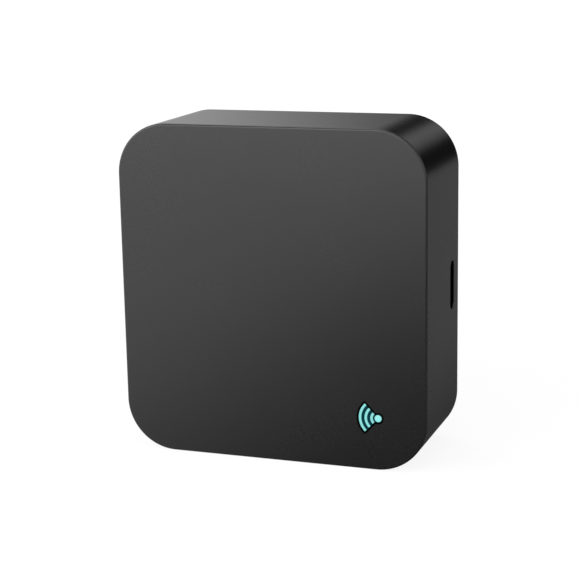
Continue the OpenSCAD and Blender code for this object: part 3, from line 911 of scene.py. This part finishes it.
@dataclass
class Cover:
    """The one-piece cover: face, side walls, rim, and the openings for the port and the signal mark."""

    corner: float = 8.1 * MM
    corner_steps: int = 28
    face_edge: float = 0.35 * MM
    rim_edge: float = 0.4 * MM
    wall: float = 1.8 * MM
    rim: float = 1.0 * MM
    plate: float = 1.6 * MM
    slot_length: float = 7.8 * MM
    slot_width: float = 2.3 * MM
    slot_corner: float = 1.1 * MM
    slot_edge: float = 0.12 * MM
    slot_from_back: float = 4.2 * MM
    pocket_length: float = 8.1 * MM
    pocket_width: float = 3.0 * MM
    pocket_corner: float = 0.8 * MM
    lip: float = 1.1 * MM
    mark_play: float = 0.05 * MM
    cutter_room: float = 0.5 * MM
    extent: Extent = field(default_factory=lambda: Extent.of("cover_shell"))

    @property
    def port_centre(self) -> Vector:
        """The middle of the slot, on the outside of the side wall."""
        high = self.extent.high
        return Vector((high.x, high.y - self.slot_from_back, self.extent.centre.z))

    @property
    def slot_reach(self) -> Place:
        """Half the size of the slot's opening, along each axis."""
        return 0.0, self.slot_width / 2, self.slot_length / 2

    def shell(self) -> Piece:
        """Shapes the hollow cap from a cuboid.

        Returns:
            The cap, open at the back.
        """
        low, high = self.extent
        cap = block("cover", low, high)
        round_edges(cap, running_along(1), self.corner, self.corner_steps)
        round_edges(cap, lying_at(low.y), self.face_edge, segments=6)
        round_edges(cap, lying_at(high.y), self.rim_edge, segments=4)
        push_face(cap, facing_back(high.y), [self.rim - self.rim_edge], -self.plate)
        ledge = high.y - self.plate
        push_face(cap, facing_back(ledge), [self.wall - self.rim], low.y + FACE_WALL - ledge)
        return cap

    def port_cutters(self) -> list[Piece]:
        """Makes the bar that opens the slot in the side wall, and the wider one for the pocket in it.

        Returns:
            The two cutters, with round ends.
        """
        through = self.wall + self.cutter_room
        reach = Vector(self.slot_reach) + Vector((through, 0, 0))
        slot = block("slot_cutter", self.port_centre - reach, self.port_centre + reach)
        round_edges(slot, running_along(0), self.slot_corner, segments=10)
        far = Vector((through, self.pocket_width / 2, self.pocket_length / 2))
        end = Vector((-self.lip, far.y, far.z))
        pocket = block("pocket_cutter", self.port_centre - far, self.port_centre + end)
        round_edges(pocket, running_along(0), self.pocket_corner, segments=6)
        return [slot, pocket]

    def build(self, mark: "SignalMark") -> None:
        """Builds the cover.

        Args:
            mark: The signal mark, whose outline is cut out of the face.
        """
        cap = self.shell()
        combine(cap, self.port_cutters(), Join.CUT)
        round_edges(cap, within(self.port_centre, self.slot_reach), self.slot_edge, segments=3)
        combine(cap, mark.strokes("mark_cutter", self.mark_play, 2 * self.cutter_room), Join.CUT)
        soften(cap, angle=32)
        satin = SatinCover("satin_black", (0.0062, 0.0062, 0.0060), cover=self, mark=mark)
        hand_over(cap, satin, "cover_shell")


@dataclass
class SignalMark:
    """The dot and three arcs that shine in the face, and the clear guide behind them."""

    dot: float = 0.58 * MM
    sides: int = 48
    arcs: int = 3
    arc_steps: int = 20
    first_arc: float = 1.06 * MM
    arc_step: float = 0.92 * MM
    stroke: float = 0.40 * MM
    half_angle: float = 46.5
    crown: float = 0.05 * MM
    plate: float = 1.2 * MM
    plate_corner: float = 1.2 * MM
    pipe_radii: Span = (1.7 * MM, 2.6 * MM)
    sliver: float = 0.0001 * MM
    extent: Extent = field(default_factory=lambda: Extent.of("signal_light_guide"))

    @property
    def face_y(self) -> float:
        """The plane of the face."""
        return self.extent.low.y

    @property
    def reach(self) -> float:
        """The radius of the last arc's outer edge."""
        return self.first_arc + (self.arcs - 1) * self.arc_step + self.stroke / 2

    @property
    def dot_centre(self) -> Vector:
        """The middle of the dot, on the face."""
        centre = self.extent.centre
        return Vector((centre.x + (self.reach - self.dot) / 2, self.face_y, centre.z))

    def arc(self, name: str, radius: float, play: float, middle: Vector, depth: float) -> Piece:
        """Spins one arc of the mark.

        Args:
            name: The piece's name.
            radius: The arc's centreline radius.
            play: How far its outline is opened out.
            middle: The middle of the circle that it is part of.
            depth: How deep it is.

        Returns:
            The arc.
        """
        span = 2 * (math.radians(self.half_angle) + play / radius)
        half = Vector((self.stroke / 2 + play, depth / 2, self.sliver))
        start = middle - Vector((radius, 0, 0))
        arc = block(name, start - half, start + half)
        with editing(arc, faces=lambda centre, normal: normal.z < STRAIGHT):
            bpy.ops.mesh.delete(type="FACE")
        turn = Matrix.Translation(middle) @ Matrix.Rotation(span / 2, 4, "Y") @ Matrix.Translation(-middle)
        arc.data.transform(turn)
        with editing(arc):
            bpy.ops.mesh.spin(steps=self.arc_steps, angle=span, center=middle, axis=(0, 1, 0))
            bpy.ops.mesh.select_all(action="SELECT")
            bpy.ops.mesh.remove_doubles(threshold=TOUCH / 10)
            bpy.ops.mesh.normals_make_consistent(inside=False)
        return arc

    def strokes(self, name: str, play: float, front: float) -> list[Piece]:
        """Makes the dot and the arcs, which reach from the face to just inside the guide's plate.

        Args:
            name: The start of their names.
            play: How far their outlines are opened out.
            front: How far they stand out of the face.

        Returns:
            The dot, then the arcs.
        """
        depth = FACE_WALL + OVERLAP + front
        middle = self.dot_centre + Vector((0, depth / 2 - front, 0))
        made = [drum(f"{name}_dot", middle, self.dot + play, depth, self.sides)]
        for i in range(self.arcs):
            radius = self.first_arc + i * self.arc_step
            made.append(self.arc(f"{name}_arc_{i + 1}", radius, play, middle, depth))
        return made

    def pipe(self, start: float) -> Piece:
        """Makes the pipe from the guide's plate to the lamp, which is narrower at the lamp.

        Args:
            start: The depth at which it starts.

        Returns:
            The pipe.
        """
        centre, end = self.extent.centre, self.extent.high.y
        narrow, wide = self.pipe_radii
        deselect()
        middle = (centre.x, (start + end) / 2, centre.z)
        bpy.ops.mesh.primitive_cone_add(vertices=self.sides, radius1=narrow, radius2=wide,
                                        depth=end - start, location=middle, rotation=LYING)
        return settle("light_pipe")

    def build(self) -> None:
        """Builds the light guide with its strokes."""
        low, high = self.extent
        ceiling = self.face_y + FACE_WALL
        guide = block("light_guide", (low.x, ceiling, low.z), (high.x, ceiling + self.plate, high.z))
        round_edges(guide, running_along(1), self.plate_corner, segments=8)
        pipe = self.pipe(ceiling + self.plate - OVERLAP)
        strokes = self.strokes("stroke", play=0.0, front=0.0)
        for stroke in strokes:
            round_edges(stroke, lying_at(self.face_y), self.crown, segments=2)
        combine(guide, [pipe, *strokes], Join.WELD)
        soften(guide, angle=35)
        lit = SignalLight("teal_light", (0.04, 0.17, 0.16), mark=self)
        hand_over(guide, lit, "signal_light_guide")


@dataclass
class RubberPads:
    """The four pads on the back, moulded in one shape."""

    rim: float = 0.3 * MM
    lip: float = 0.45 * MM
    hollow: float = 0.12 * MM
    sides: int = 72
    count: int = 4

    def pad(self, extent: Extent) -> Piece:
        """Shapes the first pad.

        Args:
            extent: The box that it fills.

        Returns:
            The pad, with a rounded rim and a shallow dish.
        """
        size, outer = extent.high - extent.low, extent.high.y
        pad = drum("rubber_pad_1", extent.centre, size.x / 2, size.y, self.sides)
        round_edges(pad, lying_at(outer), self.rim, segments=5)
        push_face(pad, facing_back(outer), [self.lip, self.hollow], -self.hollow)
        soften(pad, angle=35)
        return pad

    def build(self) -> None:
        """Builds the first pad and copies it to the other seats."""
        first = Extent.of("foot_pad_1")
        pads = [self.pad(first)]
        for i in range(2, self.count + 1):
            step = Extent.of(f"foot_pad_{i}").centre - first.centre
            pads.append(copy_to(pads[0], f"rubber_pad_{i}", step))
        rubber = Rubber("pad_rubber", (0.022, 0.022, 0.023))
        for i, pad in enumerate(pads, start=1):
            hand_over(pad, rubber, f"foot_pad_{i}")


@dataclass
class SnapDome:
    """The snap dome in the push switch, which flattens as the button is pressed."""

    sheet: float = 0.08 * MM
    travel: float = 0.3 * MM
    skirt: float = 0.3 * MM
    floor_room: float = 1 * MM
    extent: Extent = field(default_factory=lambda: Extent.of("switch_dome"))

    def cap(self, radius: float) -> Piece:
        """Cuts a cap off a sphere and gives it the thickness of the sheet.

        Args:
            radius: The sphere's radius.

        Returns:
            The cap, still a little deeper than the dome.
        """
        (low, high), centre = self.extent, self.extent.centre
        deselect()
        bpy.ops.mesh.primitive_uv_sphere_add(segments=48, ring_count=96, radius=radius,
                                             location=(centre.x, high.y - radius, centre.z),
                                             rotation=(math.radians(-90), 0, 0))
        cap = settle("snap_dome")
        with editing(cap):
            bpy.ops.mesh.bisect(plane_co=(0, low.y - self.skirt, 0), plane_no=(0, 1, 0), clear_inner=True)
        alter(cap, "SOLIDIFY", thickness=self.sheet)
        return cap

    def build(self, finish: Finish) -> None:
        """Builds the dome, with its rim on the floor of the switch, and gives it a mesh of its own.

        Args:
            finish: The finish of the switch's steel parts.
        """
        (low, high), centre = self.extent, self.extent.centre
        rise, reach = high.y - low.y, (high.x - low.x) / 2
        dome = self.cap((reach ** 2 + rise ** 2) / (2 * rise))
        room = Vector((reach + self.floor_room, self.floor_room, reach + self.floor_room))
        under = Vector((centre.x, low.y - room.y, centre.z))
        combine(dome, [block("chamber_floor", under - room, under + room)], Join.CUT)
        soften(dome, angle=40)
        hand_over(dome, finish, "switch_dome")
        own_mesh(dome)


@dataclass
class Innards:
    """The CAD nodes that keep their own shape and only need a finish, which is named after their slot."""

    finishes: tuple[Finish, ...] = (
        MouldedPlastic("base_black", (0.016, 0.016, 0.0165), roughness=0.5, grain=0.3 * MM,
                       grain_depth=0.006 * MM),
        SolderMask("board_green", (0.012, 0.10, 0.045)),
        SolderMask("radio_black", (0.008, 0.010, 0.014)),
        PlatedMetal("screw_steel", Metal.STEEL.value, roughness=0.3),
        PlatedMetal("socket_steel", Metal.NICKEL.value, roughness=0.24),
        MouldedPlastic("socket_black", (0.012, 0.012, 0.012), roughness=0.42),
        PlatedMetal("contact_gold", Metal.GOLD.value, roughness=0.22),
        PlatedMetal("can_metal", Metal.ALUMINIUM.value, roughness=0.32),
        PlatedMetal("solder", Metal.TIN.value, roughness=0.18),
        PlatedMetal("lead_tin", Metal.TIN.value, roughness=0.3),
        ClearEpoxy("lamp_epoxy", (0.62, 0.60, 0.82)),
        MouldedPlastic("filter_black", (0.010, 0.006, 0.012), roughness=0.15),
        MouldedPlastic("chip_black", (0.018, 0.018, 0.019), roughness=0.55),
        PlatedMetal("switch_steel", Metal.STEEL.value, roughness=0.26),
        MouldedPlastic("plunger_white", (0.62, 0.61, 0.56), roughness=0.45),
        MouldedPlastic("button_grey", (0.035, 0.035, 0.037), roughness=0.4),
        LitPlastic("lamp_white", (0.75, 0.74, 0.6)),
        FiredCeramic("resistor_black", (0.012, 0.012, 0.014)),
        FiredCeramic("capacitor_tan", (0.30, 0.18, 0.09)),
    )

    def by_slot(self) -> dict[str, Finish]:
        """The finishes, by the record's slot that each is for."""
        return {finish.name: finish for finish in self.finishes}

    def build(self) -> None:
        """Lays each slot's finish on the nodes that still show."""
        finishes = self.by_slot()
        for part in frame["record"]["subparts"]:
            node, slot = frame["nodes"][part["node"]], part["material_slot"]
            if not node.hide_render and slot in finishes:
                dress(node, finishes[slot])
                LOG.info("%s: dressed as %s", part["node"], slot)


@dataclass(frozen=True)
class Softbox:
    """A soft rectangular light that looks at the box, with its angles in degrees round and above it."""

    name: str
    azimuth: float
    elevation: float
    width: float
    height: float
    radiance: float
    distance: float = 0.5

    def hang(self, centre: Vector) -> None:
        """Hangs the light.

        Args:
            centre: The middle of the box.
        """
        data = bpy.data.lights.new(self.name, "AREA")
        data.shape = "RECTANGLE"
        data.size, data.size_y = self.width, self.height
        data.energy = self.radiance * math.pi * self.width * self.height
        around, up = math.radians(self.azimuth), math.radians(self.elevation)
        away = Vector((math.sin(around) * math.cos(up), -math.cos(around) * math.cos(up), math.sin(up)))
        light = bpy.data.objects.new(self.name, data)
        light.location = centre + away * self.distance
        light.rotation_euler = away.to_track_quat("Z", "Y").to_euler()
        light.visible_camera = False
        bpy.context.scene.collection.objects.link(light)


@dataclass
class Viewpoint:
    """The camera, at the photograph's viewing angle."""

    place: Place = (83.5 * MM, -233.72 * MM, 82.32 * MM)
    ahead: Place = (-0.32942, 0.91732, -0.22361)
    up: Place = (-0.05826, 0.21663, 0.97451)
    lens: float = 98.67
    sensor: float = 36.0
    clip: Span = (0.01, 20.0)

    def build(self) -> None:
        """Places the camera and makes it the scene's own."""
        data = bpy.data.cameras.new("camera")
        data.sensor_width, data.lens = self.sensor, self.lens
        data.clip_start, data.clip_end = self.clip
        camera = bpy.data.objects.new("camera", data)
        bpy.context.scene.collection.objects.link(camera)
        ahead = Vector(self.ahead).normalized()
        side = ahead.cross(Vector(self.up)).normalized()
        turn = Matrix((side, side.cross(ahead), -ahead)).transposed()
        camera.matrix_world = Matrix.LocRotScale(Vector(self.place), turn, None)
        bpy.context.scene.camera = camera


@dataclass
class Floor:
    """The white floor, which keeps a faint shadow and isn't seen from below.

    The gloss of the box mirrors it pale on the left and in front, and shaded on the right.
    """

    size: float = 6.0
    paint: Colour = (0.8, 0.8, 0.8)
    roughness: float = 0.7
    glow: float = 1.04
    pale: float = 0.95
    dark: float = 0.198
    shade_right: Span = (-0.078, 0.034)
    shade_front: Span = (0.09, 0.33)
    grey_right: Span = (0.01, 0.048)
    grey_back: Span = (0.35, 1.5)
    shadow: float = 0.15
    shadow_reach: Span = (0.1, 0.3)

    def mirrored(self, shader: Shader) -> Wire:
        """Finds how bright the floor is in the gloss of the box.

        Args:
            shader: The floor's graph.

        Returns:
            The brightness.
        """
        across, along, _ = shader.parts(shader.place())
        shade = across.step(*self.shade_right) * (1 - (0 - along).step(*self.shade_front))
        grey = self.dark * across.step(*self.grey_right) * (1 - along.step(*self.grey_back))
        return self.pale * (1 - shade) + grey * shade

    def build(self) -> None:
        """Lays the floor."""
        deselect()
        bpy.ops.mesh.primitive_plane_add(size=self.size)
        floor = settle("floor")
        shader = Shader("floor_paint")
        shader.put(Base_Color=self.paint, Roughness=self.roughness, Specular_IOR_Level=0.0)
        camera, glossy = shader.ray("Is Camera Ray"), shader.ray("Is Glossy Ray")
        through = shader.ray("Is Transmission Ray")
        strength = self.glow * camera + through + self.mirrored(shader) * glossy
        glow = shader.add("ShaderNodeEmission", sockets={"Strength": strength})
        away = shader.add("ShaderNodeVectorMath", {"operation": "LENGTH"}, {0: shader.place()}, "Value")
        shadow = self.shadow * (1 - away.step(*self.shadow_reach))
        lit = shader.mix((1 - shadow) * camera + glossy + through, shader.own(), glow)
        below = shader.add("ShaderNodeNewGeometry", output="Backfacing")
        shader.finish_with(shader.mix(below, lit, shader.add("ShaderNodeBsdfTransparent")))
        floor.data.materials.append(shader.material)


@dataclass
class Room:
    """The white room, with dark cloth hung behind the box and one strip of light in it.

    Spans are in degrees, from straight behind the box towards its right, or up from the floor. Only
    front_y is a span of a direction's Y, below which the room mirrors black. degrees_up turns a
    direction's Z into degrees, nearly.
    """

    strip: float = 0.42
    diffuse: float = 0.1
    degrees_up: float = 60.0
    cloth_round: Span = (-34.0, -16.0)
    cloth_lean: float = 0.45
    strip_left: Span = (-3.0, 3.0)
    strip_right: Span = (12.0, 19.0)
    strip_foot: Span = (9.0, 15.0)
    strip_head: Span = (26.0, 42.0)
    front_y: Span = (-0.3, 0.0)

    def mirrored(self, graph: Graph) -> Wire:
        """Finds how bright the room is in the gloss of the box.

        Args:
            graph: The world's graph.

        Returns:
            The brightness.
        """
        x, y, z = graph.parts(graph.add("ShaderNodeTexCoord", output="Generated"))
        turn, height = x.angle_from(y), z * self.degrees_up
        cloth = (turn - self.cloth_lean * height).step(*self.cloth_round)
        strip = turn.step(*self.strip_left) * (1 - turn.step(*self.strip_right))
        strip = strip * height.step(*self.strip_foot) * (1 - height.step(*self.strip_head))
        return (1 - cloth + self.strip * strip) * y.step(*self.front_y)

    def build(self) -> None:
        """Sets the room."""
        world = bpy.data.worlds.new("room")
        world.use_nodes = True
        bpy.context.scene.world = world
        graph = Graph(world.node_tree)
        camera, glossy = graph.ray("Is Camera Ray"), graph.ray("Is Glossy Ray")
        through, diffuse = graph.ray("Is Transmission Ray"), graph.ray("Is Diffuse Ray")
        strength = camera + through + self.mirrored(graph) * glossy + self.diffuse * diffuse
        background = world.node_tree.nodes["Background"]
        graph.join((1, 1, 1), background.inputs["Color"])
        graph.join(strength, background.inputs["Strength"])


@dataclass
class Studio:
    """The camera, the floor, the room and the lights."""

    softboxes: tuple[Softbox, ...] = (
        Softbox("softbox_left", -66, 25, 0.30, 0.44, 2.95),
        Softbox("softbox_front_left", -34, 25, 0.30, 0.44, 3.0),
        Softbox("softbox_front", -2, 25, 0.30, 0.44, 3.1),
        Softbox("softbox_right", 80, 35, 0.75, 0.60, 1.18),
        Softbox("softbox_top", 180, 85, 0.40, 0.40, 1.5),
        Softbox("softbox_back", -130, 38, 0.30, 0.30, 2.0),
    )

    def build(self) -> None:
        """Builds the whole studio."""
        bpy.context.scene.view_settings.view_transform = "Standard"
        for part in (Viewpoint(), Floor(), Room()):
            part.build()
        centre = (Vector(cad_bounds[0]) + Vector(cad_bounds[1])) / 2
        for softbox in self.softboxes:
            softbox.hang(centre)
        LOG.info("studio: %d lights", len(self.softboxes))


def main() -> None:
    """Builds the sub-assemblies in order."""
    logging.basicConfig(level=logging.INFO, format="%(message)s")
    mark = SignalMark()
    Cover().build(mark)
    mark.build()
    RubberPads().build()
    innards = Innards()
    SnapDome().build(innards.by_slot()["switch_steel"])
    innards.build()
    Studio().build()


if __name__ == "__main__":
    main()
